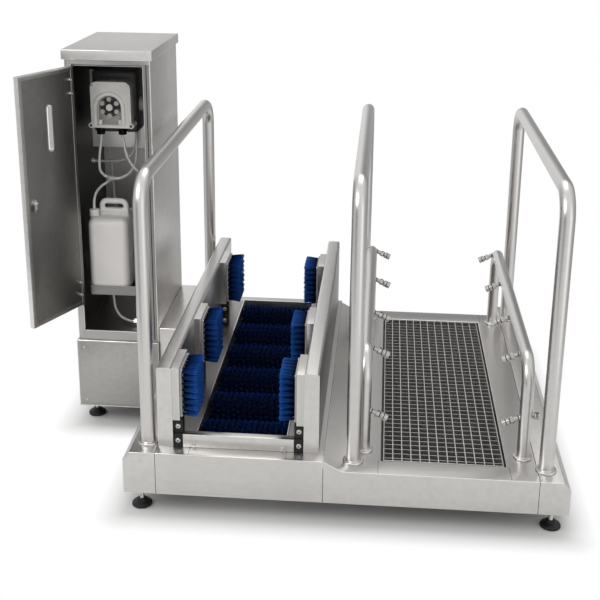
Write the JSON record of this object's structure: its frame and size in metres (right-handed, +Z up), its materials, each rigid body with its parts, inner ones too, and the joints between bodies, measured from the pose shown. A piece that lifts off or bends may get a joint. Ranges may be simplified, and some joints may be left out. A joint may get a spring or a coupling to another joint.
{
  "type": "boot washer",
  "caption": "Walk-through boot washer: brush lane with rollers and side brushes, spray lane with grating and nozzles, detergent cabinet with dosing pump.",
  "frame": {"origin": "on the floor, under the middle of the machine's box, with the cabinet door open as pictured", "axes": "+X to the right seen from the entrance, with the cabinet at -X; +Y the way people walk through; +Z up"},
  "size_m": [1.8544, 1.482, 1.45],
  "materials": {
    "stainless_base": "brushed",
    "stainless_tube": "satin",
    "cabinet_steel": "brushed",
    "grating_steel": "matte, galvanised",
    "drive_steel": "oiled",
    "brush_blue": "stiff bristle",
    "black_plastic": "matte",
    "pump_grey": "textured",
    "pump_ivory": "gloss",
    "can_white": "satin, slightly see-through",
    "hose_clear": "clear, satin"
  },
  "bodies": {
    "machine": {"left_side_channel": "stainless_base", "brush_base": "stainless_base", "spray_base": "stainless_base", "right_side_channel": "stainless_base", "front_left_foot": "black_plastic", "front_right_foot": "black_plastic", "rear_left_foot": "black_plastic", "rear_right_foot": "black_plastic", "plinth_front_foot": "black_plastic", "plinth_rear_foot": "black_plastic", "left_wall": "stainless_base", "right_wall": "stainless_base", "front_crossbar": "stainless_base", "drive_chain": "drive_steel", "drive_motor": "drive_steel", "left_spray_rail": "stainless_tube", "right_spray_rail": "stainless_tube", "left_handrail": "stainless_tube", "middle_handrail": "stainless_tube", "right_handrail": "stainless_tube", "plinth": "cabinet_steel", "drive_housing": "cabinet_steel", "cabinet_body": "cabinet_steel", "cabinet_lid": "cabinet_steel", "pump_body": "pump_grey", "pump_head": "pump_ivory", "jerrycan": "can_white", "can_cap": "can_white", "drip_tray": "cabinet_steel", "drain_fitting": "drive_steel", "hose_tee": "hose_clear", "suction_hose": "hose_clear", "head_to_tee_hose": "hose_clear", "tee_to_body_hose": "hose_clear", "delivery_hose": "hose_clear", "supply_hose": "hose_clear", "drain_hose": "hose_clear", "left_side_brush_1": "brush_blue", "left_bearing_block_1": "black_plastic", "left_side_brush_2": "brush_blue", "left_bearing_block_2": "black_plastic", "left_side_brush_3": "brush_blue", "left_bearing_block_3": "black_plastic", "right_side_brush_1": "brush_blue", "right_bearing_block_1": "black_plastic", "right_side_brush_2": "brush_blue", "right_bearing_block_2": "black_plastic", "right_side_brush_3": "brush_blue", "right_bearing_block_3": "black_plastic"},
    "door": {"door": "cabinet_steel"},
    "latch": {"door_latch": "drive_steel"},
    "grating": {"grating_frame": "grating_steel", "grating_rods": "grating_steel"},
    "pump_rotor": {"pump_rotor": "pump_ivory"},
    "roller_1": {"brush_roller_1": "brush_blue"},
    "roller_2": {"brush_roller_2": "brush_blue"},
    "roller_3": {"brush_roller_3": "brush_blue"},
    "roller_4": {"brush_roller_4": "brush_blue"},
    "roller_5": {"brush_roller_5": "brush_blue"},
    "roller_6": {"brush_roller_6": "brush_blue"}
  },
  "joints": [
    {"name": "door_hinge", "type": "hinge", "parent": "machine", "child": "door", "pos_m": [-0.80682, -0.1583, 0.948], "axis": [0, 0, 1], "range_deg": [-20, 114]},
    {"name": "latch_turn", "type": "hinge", "parent": "door", "child": "latch", "pos_m": [-0.89956, -0.36659, 0.955], "axis": [-0.9135, 0.4067, 0], "range_deg": [0, 90]},
    {"name": "roller_1_spin", "type": "hinge", "parent": "machine", "child": "roller_1", "pos_m": [-0.14682, -0.536, 0.175], "axis": [1, 0, 0], "continuous": true},
    {"name": "roller_2_spin", "type": "hinge", "parent": "machine", "child": "roller_2", "pos_m": [-0.14682, -0.327, 0.175], "axis": [1, 0, 0], "continuous": true},
    {"name": "roller_3_spin", "type": "hinge", "parent": "machine", "child": "roller_3", "pos_m": [-0.14682, -0.118, 0.175], "axis": [1, 0, 0], "continuous": true},
    {"name": "roller_4_spin", "type": "hinge", "parent": "machine", "child": "roller_4", "pos_m": [-0.14682, 0.091, 0.175], "axis": [1, 0, 0], "continuous": true},
    {"name": "roller_5_spin", "type": "hinge", "parent": "machine", "child": "roller_5", "pos_m": [-0.14682, 0.3, 0.175], "axis": [1, 0, 0], "continuous": true},
    {"name": "roller_6_spin", "type": "hinge", "parent": "machine", "child": "roller_6", "pos_m": [-0.14682, 0.509, 0.175], "axis": [1, 0, 0], "continuous": true},
    {"name": "pump_rotor_spin", "type": "hinge", "parent": "machine", "child": "pump_rotor", "pos_m": [-0.71682, 0.021, 1.214], "axis": [0, 1, 0], "continuous": true},
    {"name": "grating_lift", "type": "slide", "parent": "machine", "child": "grating", "axis": [0, 0, 1], "range_m": [0, 0.1]}
  ],
  "couplings": [
    {"joint": "roller_1_spin", "follows": "roller_4_spin", "ratio": 1},
    {"joint": "roller_2_spin", "follows": "roller_4_spin", "ratio": 1},
    {"joint": "roller_3_spin", "follows": "roller_4_spin", "ratio": 1},
    {"joint": "roller_5_spin", "follows": "roller_4_spin", "ratio": 1},
    {"joint": "roller_6_spin", "follows": "roller_4_spin", "ratio": 1}
  ]
}
